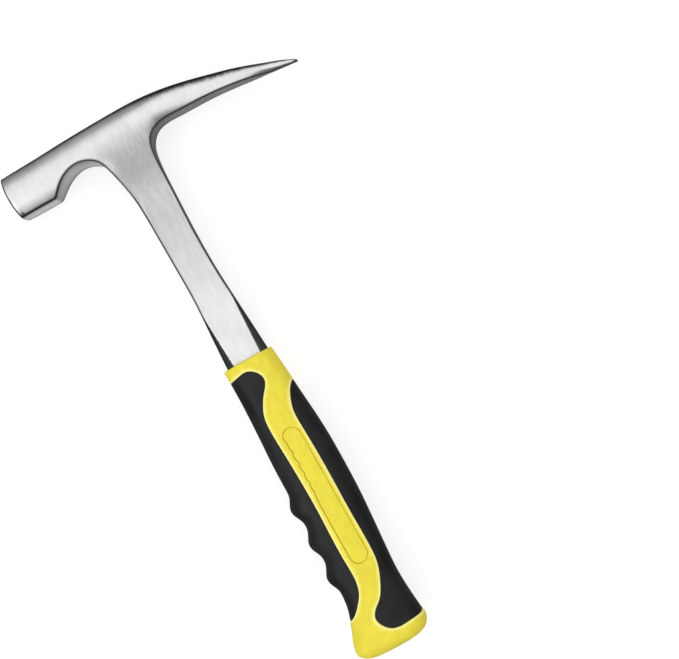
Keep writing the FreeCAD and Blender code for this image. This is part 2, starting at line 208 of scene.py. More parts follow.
def round_corner(start, corner, end, count=9):
    """Curved corner between two points, pulled towards the corner."""
    t = np.linspace(0, 1, count)[:, None]
    start, corner, end = (np.array(p, float) for p in (start, corner, end))
    return start * (1 - t) ** 2 + corner * 2 * t * (1 - t) + end * t * t


def counted_from(x, y, steps):
    """Points given by their distances from (x, y)."""
    return [(x + right, y + up) for right, up in steps]


def half_circle(centre, radius, start_angle, count=17):
    angles = np.radians(start_angle) + np.linspace(0, math.pi, count)
    return np.stack([centre[0] + radius * np.cos(angles), centre[1] + radius * np.sin(angles)], 1)


def resample(line, spacing):
    """The same polyline with evenly spaced points."""
    run = np.append(0.0, np.cumsum(np.linalg.norm(np.diff(line, axis=0), axis=1)))
    places = np.linspace(0, run[-1], max(2, round(run[-1] / spacing) + 1))
    return np.stack([np.interp(places, run, line[:, k]) for k in (0, 1)], 1)


def joined(*runs):
    """One closed loop from runs that follow each other, with no point twice."""
    loop = [runs[0][0]]
    for run in runs:
        for point in run:
            if math.dist(point, loop[-1]) > NEAR:
                loop.append(point)
    if math.dist(loop[0], loop[-1]) < NEAR:
        loop.pop()
    return np.array(loop)


def inside(points, loop):
    """True for points inside the closed loop."""
    result = np.zeros(len(points), bool)
    x, y = points.T
    for (x0, y0), (x1, y1) in zip(loop, np.roll(loop, -1, axis=0)):
        if y0 != y1:
            crosses = (y0 > y) != (y1 > y)
            result ^= crosses & (x < x0 + (y - y0) * (x1 - x0) / (y1 - y0))
    return result


def distance_to(points, line, closed):
    """Distance from each point to the polyline."""
    best = np.full(len(points), np.inf)
    ends = np.roll(line, -1, axis=0) if closed else line[1:]
    for start, end in zip(line, ends):
        run = end - start
        t = np.clip((points - start) @ run / max(run @ run, 1e-12), 0, 1)
        away = points - start - t[:, None] * run
        best = np.minimum(best, np.einsum("ij,ij->i", away, away))
    return np.sqrt(best)


def side_normals(line, closed):
    """Unit normals to the left of the polyline's run."""
    if closed:
        run = np.roll(line, -1, axis=0) - np.roll(line, 1, axis=0)
    else:
        run = np.gradient(line, axis=0)
    run /= np.linalg.norm(run, axis=1)[:, None]
    return np.stack([-run[:, 1], run[:, 0]], 1)


def add_object(name, data):
    added = bpy.data.objects.new(name, data)
    bpy.context.scene.collection.objects.link(added)
    return added


class Sheet:
    """Points and lines that a triangulation has to keep."""

    def __init__(self):
        self.points = []
        self.edges = []

    def add_line(self, line, closed=False):
        first = len(self.points)
        self.points += [tuple(p) for p in line]
        self.edges += [(first + i, first + i + 1) for i in range(len(line) - 1)]
        if closed:
            self.edges.append((first + len(line) - 1, first))
        return list(range(first, first + len(line)))

    def fill(self, candidates, clearance):
        """Adds those candidates that aren't close to a point that is there."""
        tree = KDTree(len(self.points))
        for i, (x, y) in enumerate(self.points):
            tree.insert((x, y, 0), i)
        tree.balance()
        self.points += [(x, y) for x, y in candidates if tree.find((x, y, 0))[2] > clearance]

    def triangles(self):
        """Triangulated points, triangles and, for each point given, its place in the result."""
        vectors = [Vector(p) for p in self.points]
        found, _, faces, kept, _, _ = delaunay_2d_cdt(vectors, self.edges, [], 0, 1e-5, True)
        place = {}
        for i, sources in enumerate(kept):
            for source in sources:
                place[source] = i
        return np.array([tuple(v) for v in found]), np.array([f for f in faces if len(f) == 3]), place


def grid(low, high, spacing):
    xs = np.arange(low[0], high[0], spacing)
    ys = np.arange(low[1], high[1], spacing)
    columns, rows = np.meshgrid(xs, ys)
    columns[1::2] += spacing / 2
    return np.stack([columns.ravel(), rows.ravel()], 1)


class Solid:
    """Collects welded vertices and faces, in mm, and makes the mesh object."""

    def __init__(self):
        self.vertices = []
        self.faces = []
        self.marks = {}

    def add(self, points, **marks):
        """New vertices; a mark is a number per vertex that the material reads by its name."""
        first = len(self.vertices)
        self.vertices += [tuple(p) for p in points]
        for name, values in marks.items():
            row = self.marks.setdefault(name, [])
            row += [0.0] * (first - len(row))
            row += np.broadcast_to(values, len(points)).tolist()
        return np.arange(first, first + len(points))

    def strip(self, first, second):
        """Quads between two closed rows of vertices of the same length."""
        for i in range(len(first)):
            j = (i + 1) % len(first)
            self.faces.append((first[i], first[j], second[j], second[i]))

    def extend(self, row, points, **marks):
        """A new row of vertices, joined to the row before it."""
        new = self.add(points, **marks)
        self.strip(row, new)
        return new

    def drop_loose(self):
        """Removes vertices that no face uses."""
        used = sorted({int(i) for face in self.faces for i in face})
        place = {old: new for new, old in enumerate(used)}
        count = len(self.vertices)
        self.vertices = [self.vertices[i] for i in used]
        for mark, values in self.marks.items():
            values = values + [0.0] * (count - len(values))
            self.marks[mark] = [values[i] for i in used]
        self.faces = [tuple(place[int(i)] for i in face) for face in self.faces]

    def make(self, name, node, material, sharp_angle):
        """Makes the finished piece that stands for a CAD node."""
        self.drop_loose()
        mesh = bpy.data.meshes.new(name)
        points = np.array(self.vertices) * MM + ORIGIN
        mesh.from_pydata(points.tolist(), [], self.faces)
        for mark, values in self.marks.items():
            mesh.attributes.new(mark, "FLOAT", "POINT").data.foreach_set("value", values)
        piece = add_object(name, mesh)
        weld(mesh)
        mesh.shade_smooth()
        mesh.set_sharp_from_angle(angle=math.radians(sharp_angle))
        mesh.materials.append(material)
        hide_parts(node)
        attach(piece, "root")


def weld(mesh):
    """Joins vertices that lie in one place and turns all faces outwards."""
    work = bmesh.new()
    work.from_mesh(mesh)
    bmesh.ops.remove_doubles(work, verts=work.verts, dist=2e-6)
    bmesh.ops.dissolve_degenerate(work, edges=work.edges, dist=1e-7)
    bmesh.ops.recalc_face_normals(work, faces=work.faces)
    work.to_mesh(mesh)
    work.free()


# -------------------- steel forging
# Along the head, places are shares of the reach to the striking face (below 0) or to the tip (above 0).
SECTION_THICKNESS = [(-1.2, 1.0), (0.0, 1.0), (0.1, 0.98), (0.19, 0.9), (0.37, 0.77), (0.56, 0.63),
                     (0.66, 0.57), (0.76, 0.47), (0.86, 0.31), (0.95, 0.165), (1.0, 0.08)]
EDGE_LOSS = [(-1.2, 0.3), (0.0, 0.3), (0.19, 0.3), (0.37, 0.17), (0.56, 0.09), (0.66, 0.07),
             (0.76, 0.22), (0.86, 0.62), (0.95, 0.9), (1.0, 0.95)]
PICK_CREST = [(0.19, 0.013), (0.37, 0.128), (0.56, 0.325), (0.755, 0.565), (0.95, 0.866)]
PICK_UNDERSIDE = [(0.31, 0.727), (0.466, 0.742), (0.655, 0.813), (0.85, 0.955), (0.948, 1.012)]
SECTION_TOP = [(-1.2, 0.1), (-0.69, 0.07), (-0.41, 0.03), (0.0, 0.0), *PICK_CREST, (1.02, 0.98)]
SECTION_BOTTOM = [(-1.2, 1.03), (-0.3, 1.03), (0.0, 0.98), (0.14, 0.84), (0.2, 0.762),
                  *PICK_UNDERSIDE, (1.02, 1.04)]
OUTLINE_SPACING = 0.9
FORGING_SPACING = 1.3
RING_DISTANCES = [0.046, 0.176, 0.37, 0.6, 1.0, 1.5, 2.1, 2.9]  # rows of points inside the outline
CREASE_OFFSETS = [-0.3, 0.0, 0.3]
CREASE_SOFTNESS = 0.12
WALL_STEPS = 8
SHOULDER_RUN = 0.05         # the step from shank to tang lies within this depth


def section_at(x):
    """Centre height, half height, half thickness and edge loss of the head's section at x."""
    share = np.where(x > 0, x / PICK_REACH, x / FACE_REACH)
    depth = POLL_DROP + POLL_HEIGHT
    bottom_scale = np.where(x > 0, TIP_DROP, depth / 1.03)
    top_scale = np.where(x > 0, TIP_DROP, 1.06 * POLL_DROP / 0.1)
    middle_scale = smooth_step((x + 0.3 * FACE_REACH) / (0.3 * FACE_REACH))
    bottom_scale = bottom_scale + (TIP_DROP - bottom_scale) * middle_scale
    top = HEAD_TOP - value_at(SECTION_TOP, share) * top_scale
    bottom = HEAD_TOP - value_at(SECTION_BOTTOM, share) * bottom_scale
    half_thickness = CHEEK_HALF * value_at(SECTION_THICKNESS, share)
    return (top + bottom) / 2, (top - bottom) / 2, half_thickness, value_at(EDGE_LOSS, share)


def barrel(section, s):
    """Half thickness of the head's barrel-shaped section; s is -1 at its foot and 1 at its crest."""
    _, half_height, half_thickness, loss = section
    squareness = 2.0 + 2.0 * smooth_step((loss - 0.35) / 0.4)
    height = half_thickness * (1 - loss * np.abs(s) ** squareness)
    radius = np.minimum(TOP_ROUND, 0.45 * half_height)
    into_round = np.clip((s * half_height - (half_height - radius)) / radius, 0.0, 0.97)
    height = height - 0.9 * radius * (1 - np.sqrt(1 - into_round ** 2))
    return np.maximum(height, 0.35)


def cheek_height(x, y):
    """Half thickness of the head and of the web that runs down into the shank."""
    section = section_at(x)
    centre, half_height = section[:2]
    s = (y - centre) / half_height
    round_part = barrel(section, np.clip(s, -1.0, 1.0))
    foot = centre - half_height
    fade = smooth_step((foot - y) / (foot - WEB_FOOT))
    round_part = round_part + (FLAT_HALF - round_part) * np.where(s < -1.0, fade, 0.0)
    web = barrel(section, np.clip(s, 0.0, 1.0))
    web_start = np.minimum(centre, WEB_TOP)
    rise = gentle_step((y - WEB_FOOT) / (web_start - WEB_FOOT))
    web = np.where(s < 0.0, FLAT_HALF + (web - FLAT_HALF) * rise, web)
    return round_part + (web - round_part) * smooth_step((22.0 - np.abs(x)) / 13.0)


def bevel_height(x, y):
    """Height of the plane that bevels the shank beside its flats, on either side."""
    out = np.abs(x) - COLLAR_FLAT / 2
    run_out = SHANK_HALF + BEVEL_START - COLLAR_FLAT / 2
    fall = BEVEL_DEPTH / (COLLAR_STEEL - COLLAR_FLAT / 2)
    return FLAT_HALF - fall * (out - run_out * y / BEVEL_LENGTH)


def steel_height(x, y):
    """Half thickness of the whole forging, before its edges are softened."""
    bevel = bevel_height(x, y)
    overlap = np.maximum(CREASE_SOFTNESS - np.abs(bevel - FLAT_HALF), 0.0)
    shank = np.minimum(bevel, FLAT_HALF) - overlap ** 2 / (4 * CREASE_SOFTNESS)
    shank = np.where(y < -SOCKET_DEPTH - SHOULDER_RUN / 2, TANG_HALF, shank)
    return np.where(y > WEB_FOOT, cheek_height(x, np.maximum(y, WEB_FOOT)), shank)


def edge_radius(x, y, height):
    """Radius of the forging's softened edge; the striking face has a rounder rim."""
    rim = smooth_step((9.0 - FACE_REACH - x) / 6.0)
    shank = smooth_step((y - 0.9 * BEVEL_LENGTH) / 8.0) * smooth_step((WEB_TOP - 12.0 - y) / 14.0)
    radius = EDGE_RADIUS + (RIM_RADIUS - EDGE_RADIUS) * rim + (SHANK_EDGE_RADIUS - EDGE_RADIUS) * shank
    half_height = section_at(x)[1]
    tip = np.where(x > 0.5 * PICK_REACH, 0.3 * half_height, radius)
    return np.minimum(np.minimum(radius, tip), 0.55 * height)


def crown(y, z):
    """How far the crowned striking face lies behind its highest point."""
    return CROWN_RADIUS - np.sqrt(np.maximum(CROWN_RADIUS ** 2 - (y - POLL_AXIS) ** 2 - z ** 2, 0.0))


FACE_CORNER = crown(POLL_TOP, 0.0) - FACE_REACH  # where the striking face meets the poll's top and underside


def crest_line():
    points = [(-1.1 * FACE_REACH, POLL_TOP - 0.1), (-0.69 * FACE_REACH, POLL_TOP + 0.26 * POLL_DROP)]
    points += [(-0.41 * FACE_REACH, POLL_TOP + 0.68 * POLL_DROP), (0.0, HEAD_TOP)]
    points += [(reach * PICK_REACH, HEAD_TOP - drop * TIP_DROP) for reach, drop in PICK_CREST]
    points.append((PICK_REACH - 0.7, HEAD_TOP - TIP_DROP + TIP_THICKNESS / 2))
    return smooth_curve(points, OUTLINE_SPACING)


def pick_and_shank_line():
    """From the tip along the pick's underside, round the crook and down to the collar."""
    bare = WEB_FOOT - BEVEL_LENGTH
    points = [(PICK_REACH - 0.4, HEAD_TOP - TIP_DROP - TIP_THICKNESS / 2)]
    points += [(reach * PICK_REACH, HEAD_TOP - drop * TIP_DROP) for reach, drop in reversed(PICK_UNDERSIDE)]
    points.append((SHANK_HALF + 11.2, HEAD_TOP - 0.762 * TIP_DROP))
    points += counted_from(SHANK_HALF, WEB_TOP, [(5.7, -11.0), (2.9, -15.6), (1.6, -22.0)])
    points += [(SHANK_HALF + 0.6, WEB_FOOT + 4.0)]
    points += counted_from(SHANK_HALF, BEVEL_LENGTH, [(-0.2, 0.68 * bare), (-0.3, 0.3 * bare)])
    points += [(SHANK_HALF + BEVEL_START, BEVEL_LENGTH), (COLLAR_STEEL - 1.3, BEVEL_LENGTH / 2)]
    points += [(COLLAR_STEEL, 0.0), (COLLAR_STEEL + 0.3, -SOCKET_DEPTH)]
    return smooth_curve(points, OUTLINE_SPACING)


def shank_and_notch_line():
    """From the collar up the shank's other side and round the notch to the poll's heel."""
    bare = WEB_FOOT - BEVEL_LENGTH
    points = [(-COLLAR_STEEL - 0.3, -SOCKET_DEPTH), (-COLLAR_STEEL, 0.0)]
    points += [(1.3 - COLLAR_STEEL, BEVEL_LENGTH / 2), (-SHANK_HALF - BEVEL_START, BEVEL_LENGTH)]
    points += counted_from(-SHANK_HALF, BEVEL_LENGTH, [(-0.4, 0.34 * bare), (-0.7, 0.83 * bare)])
    points += [(-SHANK_HALF - 1.6, WEB_FOOT + 8.0), (-SHANK_HALF - 3.5, WEB_TOP - 25.0)]
    arch = [(0.015, 0.08), (0.074, 0.486), (0.15, 0.724), (0.29, 0.94), (0.42, 1.0), (0.6, 0.895)]
    arch += [(0.75, 0.657), (0.9, 0.276), (0.975, 0.06)]
    points += [(-NOTCH_RIGHT - run * NOTCH_WIDTH, POLL_BOTTOM + rise * NOTCH_RISE) for run, rise in arch]
    return smooth_curve(points, OUTLINE_SPACING)


def tang_line():
    """Down one side of the tang, round its end and up the other side, just below the shoulders."""
    half = TANG_WIDTH / 2
    end = half - TANG_END
    step = 4 * OUTLINE_SPACING
    below = -SOCKET_DEPTH - SHOULDER_RUN
    right = np.vstack([[(half, -SOCKET_DEPTH)], straight((half, below), (half, end), step)])
    left = np.vstack([straight((-half, end), (-half, below), step), [(-half, -SOCKET_DEPTH)]])
    foot = half_circle((0, end), half, 180.0)[::-1]
    return np.vstack([right, foot, left])


def steel_outline():
    """Closed outline of the forging in its mid-plane, clockwise from the striking face's top."""
    face_top = POLL_TOP - RIM_RADIUS
    face_bottom = POLL_BOTTOM + RIM_RADIUS
    crest = crest_line()
    crest = crest[crest[:, 0] > FACE_CORNER + RIM_RADIUS]
    heel = (-NOTCH_LEFT - 0.6, POLL_BOTTOM)
    under = straight(heel, (FACE_CORNER + RIM_RADIUS, POLL_BOTTOM), OUTLINE_SPACING)
    rise = straight((0, face_bottom), (0, face_top), OUTLINE_SPACING)[:, 1]
    face = np.stack([crown(rise, 0.0) - FACE_REACH, rise], 1)
    lower = round_corner(under[-1], (FACE_CORNER, POLL_BOTTOM), face[0])
    upper = round_corner(face[-1], (FACE_CORNER, crest[0][1]), crest[0])
    pick = pick_and_shank_line()
    tip = round_corner(crest[-1], (PICK_REACH + 0.15, HEAD_TOP - TIP_DROP), pick[0], 7)
    return joined(crest, tip, pick, tang_line(), shank_and_notch_line(), under, lower, face, upper)


def room_inside(loop, normals):
    """Radius of the largest circle that touches each point of the loop from inside."""
    room = np.full(len(loop), 1e3)
    for i, (point, normal) in enumerate(zip(loop, normals)):
        away = loop - point
        towards = away @ normal
        ahead = towards > 1e-6
        if ahead.any():
            room[i] = ((away[ahead] ** 2).sum(1) / (2 * towards[ahead])).min()
    return room


# Brightness of the polish and of the painted shade on the web, from the collar (0) to the head's crest (1).
SHANK_POLISH_AND_SHADE = [(-0.13, 1.05), (0.0, 1.05), (0.13, 1.04), (0.39, 0.83), (0.55, 0.7), (0.66, 0.66),
                (0.78, 0.52), (0.85, 0.54), (0.9, 0.8), (0.925, 0.98), (0.95, 1.05), (1.1, 1.05)]
# Width, in mm, of the painted dark reflection below the crest, from the striking face to the pick's tip.
CREST_SHADE_BAND = [(-FACE_REACH, 2.7), (-0.5 * FACE_REACH, 3.8), (0.0, 4.2), (0.3 * PICK_REACH, 7.2),
              (0.55 * PICK_REACH, 7.2), (0.72 * PICK_REACH, 5.0), (0.85 * PICK_REACH, 2.2),
              (PICK_REACH, 0.8)]
POLISH_REACH = (12.0, 26.0)  # the dull web, painted in shade, blends into the bright cheeks between these half widths
FOOT_SHADE_BAND = 5.0             # width of the painted shade band above the poll's underside
EDGE_SHADE_LINE = 1.1             # width of the painted dark reflection along every edge
SHANK_EDGE_LINE = 0.5       # it is this much wider on the shank's finger side


def steel_marks(points, outline):
    """How bright the polish is, with painted shade on the dull web, and where painted shade lies:
    below the crest, above the poll's foot, on the bevels, and by how near an edge a point is.
    """
    x, y = points.T
    centre, half_height = section_at(x)[:2]
    s = (y - centre) / half_height
    start, end = POLISH_REACH
    on_cheek = smooth_step((np.abs(x) - start) / (end - start)) * (s > -1.2)
    # The polish mark also paints shade: the web is painted darker than the cheeks.
    polish = value_at(SHANK_POLISH_AND_SHADE, y / HEAD_TOP)
    polish = polish + (1.0 - polish) * on_cheek
    below_crest = (1.0 - s) * half_height
    above_foot = (s + 1.0) * half_height
    # Painted dark reflection below the crest.
    crest = 1.0 - smooth_step(below_crest / value_at(CREST_SHADE_BAND, x))
    # Painted shade above the poll's underside.
    foot = (1.0 - smooth_step(above_foot / FOOT_SHADE_BAND)) * (x < -NOTCH_LEFT + 2.0)
    # Painted shade on the bevels beside the collar.
    bevel = smooth_step((FLAT_HALF - bevel_height(x, y)) / 0.5)
    bevel = bevel * smooth_step((BEVEL_LENGTH + 3.0 - y) / 6.0)
    widened = SHANK_EDGE_LINE * (x < 0.0) * smooth_step((WEB_TOP - y) / 12.0)
    # Painted dark reflection along every edge, wider on the shank's finger side.
    edge = 1.0 - smooth_step((distance_to(points, outline, True) - widened) / EDGE_SHADE_LINE)
    side = np.zeros(len(x))
    return {"polish": polish, "crest": crest, "foot": foot, "bevel": bevel, "edge": edge, "side": side}


def forging_sheet(outline):
    """Triangulated plan of the forging, and the places of the outline's points in it."""
    normals = -side_normals(outline, True)
    room = room_inside(outline, normals)
    room = np.minimum.reduce([np.roll(room, k) for k in (-2, -1, 0, 1, 2)])
    squeeze = np.clip(0.8 * room / RING_DISTANCES[-1], 0.0, 1.0)
    sheet = Sheet()
    rim = sheet.add_line(outline, True)
    for distance in RING_DISTANCES:
        sheet.add_line(outline + normals * (distance * squeeze)[:, None], True)
    for side in (-1, 1):
        start = (side * COLLAR_FLAT / 2, 0.0)
        end = (side * (SHANK_HALF + BEVEL_START), BEVEL_LENGTH)
        crease = np.linspace(start, end, 60)[:-10]
        for offset in CREASE_OFFSETS:
            sheet.add_line(crease + (offset, 0.0))
    shoulder = TANG_WIDTH / 2 - 0.5
    for depth in (SOCKET_DEPTH, SOCKET_DEPTH + SHOULDER_RUN):
        sheet.add_line(np.array([(-shoulder, -depth), (shoulder, -depth)]))
    candidates = grid(outline.min(0), outline.max(0), FORGING_SPACING)
    sheet.fill(candidates[inside(candidates, outline)], 0.75 * FORGING_SPACING)
    points, triangles, place = sheet.triangles()
    triangles = triangles[inside(points[triangles].mean(1), outline)]
    return points, triangles, [place[i] for i in rim]


def make_forging(material):
    middle = steel_outline()
    height = steel_height(*middle.T)
    height -= edge_radius(*middle.T, height)
    on_face = smooth_step((FACE_CORNER + RIM_RADIUS - middle[:, 0]) / RIM_RADIUS)

    def wall_row(z):
        """The outline at height z: only the crowned face leaves the mid-plane's outline."""
        across = z * on_face
        row = middle.copy()
        row[:, 0] += on_face * (crown(middle[:, 1], across) - crown(middle[:, 1], 0.0))
        return row

    outline = wall_row(height)
    points, triangles, rim = forging_sheet(outline)
    x, y = points.T
    top = steel_height(x, y)
    radius = edge_radius(x, y, top)
    away = np.clip(distance_to(points, outline, True) / radius, 0.0, 1.0)
    top -= radius * (1 - np.sqrt(1 - (1 - away) ** 2))

    marks = steel_marks(points, outline)
    solid = Solid()
    upper = solid.add(np.column_stack([points, top]), **marks)
    lower = solid.add(np.column_stack([points, -top]), **marks)
    solid.faces += [tuple(upper[t]) for t in triangles]
    solid.faces += [tuple(lower[t[::-1]]) for t in triangles]
    row = upper[rim]
    marks = {name: values[rim] for name, values in marks.items()}
    for step in range(1, WALL_STEPS):
        level = 1 - 2 * step / WALL_STEPS
        z = top[rim] * level
        fade = abs(level) ** 3
        wall = {name: values * fade for name, values in marks.items()}
        wall["polish"] = marks["polish"]
        # The walls are painted in shade by the side mark.
        wall["side"] = 1.0
        row = solid.extend(row, np.column_stack([wall_row(z), z]), **wall)
    solid.strip(row, lower[rim])
    solid.make("forging_finished", "steel_forging", material, 35.0)


# -------------------- moulded grip
def below_swell(half, steps):
    """Stations from (share of the way from the palm swell to the waist, how far inside `half`)."""
    return [(PALM_SWELL + share * (WAIST - PALM_SWELL), half - drop) for share, drop in steps]


PALM_SIDE = [(0.0, COLLAR_HALF - 0.3), (10.0, COLLAR_HALF + 0.6), (0.47 * PALM_SWELL, PALM_HALF - 1.9),
             (0.78 * PALM_SWELL, PALM_HALF - 0.4), (PALM_SWELL, PALM_HALF)]
PALM_SIDE += below_swell(PALM_HALF, [(0.34, 0.4), (0.6, 1.7)]) + below_swell(WAIST_HALF, [(0.86, -0.6)])
PALM_SIDE += [(WAIST, WAIST_HALF), (WAIST + 11.0, WAIST_HALF + 0.3)]
PALM_SIDE += counted_from(GRIP_LENGTH, BUTT_TOE, [
    (-10.0, -0.4), (-7.8, 0.0), (-5.6, -0.4), (-3.8, -1.4), (-2.2, -3.2), (-1.0, -6.0), (0.0, -10.5)])
FINGER_SIDE = [(0.0, COLLAR_HALF + 0.2), (0.16 * LAST_RIDGE, COLLAR_HALF + 0.3),
               (0.31 * LAST_RIDGE, FINGER_HALF - 1.4), (0.47 * LAST_RIDGE, FINGER_HALF - 0.3)]
FINGER_SIDE += [(LAST_RIDGE + pitches * RIDGE_PITCH, FINGER_HALF + swell)
                for pitches, swell in ((-1.5, 0.2), (-0.5, 0.7), (0.6, 1.5), (0.97, 2.7))]
FINGER_SIDE += counted_from(GRIP_LENGTH, BUTT_HEEL, [
    (-19.5, -4.2), (-11.5, -1.0), (-7.6, 0.0), (-5.4, -0.3), (-3.4, -1.6), (-1.9, -3.6), (-0.8, -6.6),
    (0.0, -11.0)])
FACE_SIDE = [(0.0, COLLAR_FACE - 0.3), (12.0, COLLAR_FACE + 0.4), (PALM_SWELL, GRIP_THICKNESS / 2)]
FACE_SIDE += below_swell(GRIP_THICKNESS / 2, [(0.6, 0.3), (1.0, 0.5)])
FACE_SIDE += counted_from(GRIP_LENGTH, BUTT_THICKNESS / 2, [
    (-16.0, -0.9), (-8.0, 0.0), (-5.4, -0.4), (-3.2, -1.9), (-1.6, -3.9), (-0.6, -6.1), (0.0, -8.6)])
GIRTH_SCALE = 15.0          # mm of skin per radian round the grip
SKIN_WIDTH = GIRTH_SCALE * math.pi
SKIN_SPACING = 1.25
PANEL_SPACING = 0.8
PAD_SPACING = 0.6
FINE_SPACING = 0.02
LIP_ROUND = 0.55            # yellow edge rolls down to the black panel over this width
GROOVE_DEPTH = 0.42
PANEL_SINK = 0.14
COLLAR_ROUND = 0.9
PAD_RELIEF = 0.42
PAD_LINE = 0.22             # a fine groove runs round the pad, this far outside its edge
PAD_GROOVE = 0.3
SEAM_FLASH = 0.07           # height of the mould's seam line
PANEL_ROWS = (-0.9, -0.55, -0.3, -0.12, 0, 0.12, 0.3, 0.55, 0.9)  # rows of points beside an edge
PAD_ROWS = (-0.8, -0.5, -0.25, 0, 0.15, 0.3, 0.45, 0.8)
COLLAR_ROWS = [0.0, 0.07, 0.26, 0.55, COLLAR_ROUND]
BUTT_ROWS = (6.5, 5.2, 4.0, 3.0, 2.1, 1.4, 0.85, 0.45, 0.18, 0.0)
SOCKET_LIP = 0.4            # the collar's mouth widens by this much


def grip_halves(depth):
    """Half width on the palm side and the finger side, and half thickness, at this depth."""
    ridges = np.zeros_like(depth)
    for i in range(RIDGE_COUNT):
        away = np.clip(np.abs(depth - LAST_RIDGE + i * RIDGE_PITCH) / (RIDGE_PITCH / 2), 0.0, 1.0)
        ridges += RIDGE_HEIGHT * (0.5 + 0.5 * np.cos(math.pi * away)) ** RIDGE_SHARPNESS
    return value_at(PALM_SIDE, depth), value_at(FINGER_SIDE, depth) + ridges, value_at(FACE_SIDE, depth)


def grip_points(skin, inset):
    """Points of the grip's upper half from skin coordinates (girth, depth), moved in by inset."""
    angle = skin[:, 0] / GIRTH_SCALE
    depth = skin[:, 1]
    palm, finger, face = grip_halves(depth)
    c = np.cos(angle)
    s = np.sin(angle)
    half = np.where(c > 0, palm, finger) - inset
    reach = np.abs(c / half) ** SECTION_POWER + np.abs(s / (face - inset)) ** SECTION_POWER
    radius = reach ** (-1 / SECTION_POWER)
    seam = (skin[:, 0] < NEAR) | (skin[:, 0] > SKIN_WIDTH - NEAR)
    return np.column_stack([radius * c, -depth, np.where(seam, 0.0, radius * s)])


def onto_skin(plan):
    """Skin coordinates of plan points (x, y), with those outside the grip left out."""
    x, y = plan.T
    palm, finger, face = grip_halves(-y)
    share = np.abs(x) / np.where(x > 0, palm, finger)
    within = share < 1
    height = face * np.clip(1 - share ** SECTION_POWER, 0, 1) ** (1 / SECTION_POWER)
    return np.column_stack([GIRTH_SCALE * np.arctan2(height, x), -y])[within]


def panel_curve(points, seam):
    """A panel's edge on the skin, from the seam line at girth `seam` back to it."""
    curve = onto_skin(smooth_curve(points, FINE_SPACING) + (BAND_CENTRE, 0.0))
    first = (seam, curve[0][1])
    last = (seam, curve[-1][1])
    return resample(np.vstack([[first], curve, [last]]), PANEL_SPACING)


def finger_panel_curve():
    outside = -BUTT_HEEL - 10.0
    inner = -BAND_FINGER_EDGE
    top = -FINGER_PANEL_TOP
    end = FINGER_PANEL_GAP - GRIP_LENGTH
    run = end - top
    edge = counted_from(0.0, top, [
        (outside, -1.7), (-14.6, -1.4), (-9.1, -0.3), (-4.9, 0.0), (-1.4, -1.8), (1.1, -4.7), (1.9, -7.6),
        (0.5, -11.5), (-2.3, -14.9), (-5.7, -20.0)])
    edge += counted_from(inner, top, [
        (-0.2, -25.8), (-1.0, -31.9), (-0.7, 0.32 * run), (0.0, 0.48 * run), (-0.1, 0.6 * run),
        (-0.6, 0.79 * run)])
    edge += [(inner - 0.8, end + 18.6)]
    edge += counted_from(0.0, end, [
        (-11.0, 12.1), (-14.4, 7.4), (-18.6, 3.0), (-23.0, 0.0), (outside, -3.4)])
    return panel_curve(edge, SKIN_WIDTH)


def palm_panel_curve():
    outside = PALM_HALF + 10.0
    inner = BAND_PALM_EDGE
    top = -PALM_PANEL_TOP
    end = PALM_PANEL_GAP - GRIP_LENGTH
    run = end - top
    edge = counted_from(0.0, top, [(outside, 6.1), (16.0, 0.0), (12.6, -3.3), (9.6, -8.9)])
    edge += counted_from(inner, top, [
        (-0.1, -14.9), (-0.4, -24.9), (0.1, 0.38 * run), (-0.2, 0.55 * run), (-0.2, 0.69 * run)])
    edge += counted_from(0.0, end, [
        (6.7, 35.2), (3.1, 25.7), (-2.6, 17.1), (-7.6, 12.7), (-9.1, 9.2), (-7.4, 4.5), (-3.6, 1.1),
        (1.2, 0.0), (8.0, 0.0), (13.5, -0.4), (outside, -2.8)])
    return panel_curve(edge, 0.0)


def pad_curve():
    """Closed edge of the raised label pad on the skin; its finger side is worn into small scallops."""
    high = -PAD_TOP - PAD_HALF
    low = -PAD_BOTTOM + PAD_HALF
    right = straight((PAD_HALF, low), (PAD_HALF, high), PAD_SPACING)
    left = straight((-PAD_HALF, high), (-PAD_HALF, low), PAD_SPACING)
    down = -PAD_TOP - left[:, 1]
    worn = smooth_step((down - 4.0) / 4.0) * smooth_step((46.0 - down) / 14.0)
    left[:, 0] += worn * (0.5 + 0.8 * (1 - np.abs(np.sin(math.pi * down / 6.2))))
    cap = half_circle((0, high), PAD_HALF, 0.0)
    foot = half_circle((0, low), PAD_HALF, 180.0)
    loop = onto_skin(joined(right, cap, left, foot) + (BAND_CENTRE, 0.0))
    return resample(np.vstack([loop, loop[:1]]), PAD_SPACING)[:-1]


def roll_off(share):
    """1 at an edge, falling along a quarter circle to 0 at share 1."""
    return 1 - np.sqrt(1 - (1 - np.clip(share, 0.0, 1.0)) ** 2)


